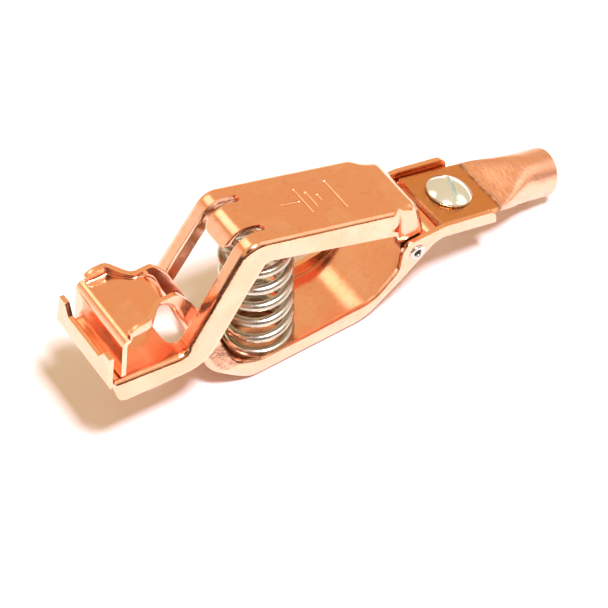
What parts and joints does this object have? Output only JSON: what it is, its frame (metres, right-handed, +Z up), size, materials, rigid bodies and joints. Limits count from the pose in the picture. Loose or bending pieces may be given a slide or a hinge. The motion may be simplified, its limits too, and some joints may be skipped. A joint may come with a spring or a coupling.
{
  "type": "ground clamp",
  "caption": "Crossover spring clip for a welding ground lead: pressed copper levers on a riveted pivot, with a compression spring and a screwed crimp lug.",
  "frame": {"origin": "on the flat underside of the bottom lever's belly, straight under the spring, which is what the clip rests on", "axes": "+X along the clip towards the cable, +Y across it, +Z up from the resting face; the clip is mirrored about Y = 0"},
  "size_m": [0.1238, 0.0218, 0.0428],
  "materials": {
    "lever_copper": "bright polished copper",
    "spring_wire": "nickel plated, satin",
    "plated_steel": "nickel plated",
    "bright_plating": "bright plated",
    "lug_copper": "brushed, scratched copper"
  },
  "bodies": {
    "bottom": {"bottom_lever": "lever_copper", "spring": "spring_wire", "pivot_eyelet_right": "plated_steel", "pivot_eyelet_left": "plated_steel", "cable_screw": "bright_plating", "lock_washer": "plated_steel", "screw_nut": "plated_steel", "cable_lug": "lug_copper"},
    "top": {"top_lever": "lever_copper"}
  },
  "joints": [
    {"name": "jaw_hinge", "type": "hinge", "parent": "bottom", "child": "top", "pos_m": [0.0358, 0, 0.0156], "axis": [0, -1, 0], "range_deg": [0, 20], "stiffness_Nm_per_rad": 2.6, "springref_deg": -28.65, "deforming": ["spring"]}
  ]
}
